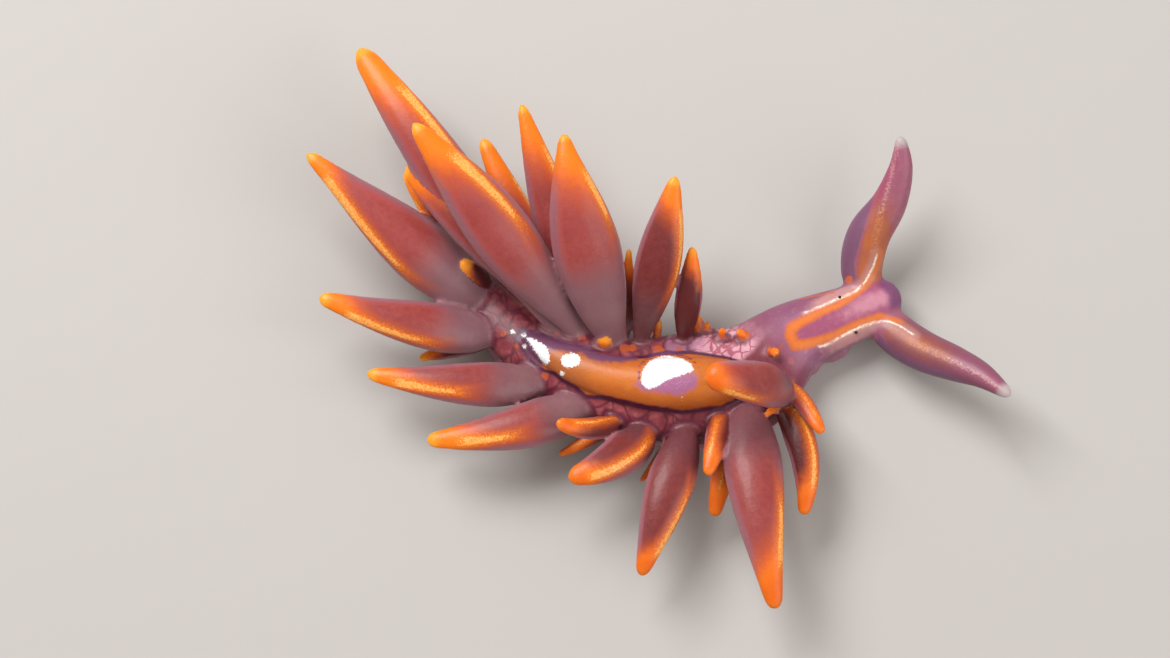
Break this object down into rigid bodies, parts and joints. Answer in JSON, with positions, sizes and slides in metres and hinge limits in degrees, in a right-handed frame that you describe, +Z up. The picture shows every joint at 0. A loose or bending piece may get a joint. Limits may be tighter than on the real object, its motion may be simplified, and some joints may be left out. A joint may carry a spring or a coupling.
{
  "type": "sacoglossan sea slug figure, hermaea variopicta, crawling",
  "caption": "Life-size still sea slug crawling on its flat sole, with rolled feelers and a fan of tapering cerata spread from both flanks.",
  "frame": {"origin": "on the floor, on the flat face of the foot, under the middle of the body", "axes": "+X from the tail towards the head, along the longest extent of the spread animal; +Y to the animal's left; +Z up from the floor"},
  "size_m": [0.0352, 0.0281, 0.0086],
  "materials": {
    "skin": "wet translucent mauve skin",
    "cerata": "wet translucent skin over red-brown gland, orange stripe and tip",
    "ridge": "wet orange skin with violet edge and white patches",
    "sole": "soft pale skin",
    "eye": "glossy black"
  },
  "bodies": {
    "root": {"tail": "skin", "trunk_rear": "cerata", "trunk_middle": "cerata", "trunk_front": "cerata", "neck": "skin", "head": "skin", "foot": "sole", "heart_ridge": "ridge", "rhinophore_left": "skin", "rhinophore_right": "skin", "eye_left": "eye", "eye_right": "eye"}
  },
  "joints": []
}
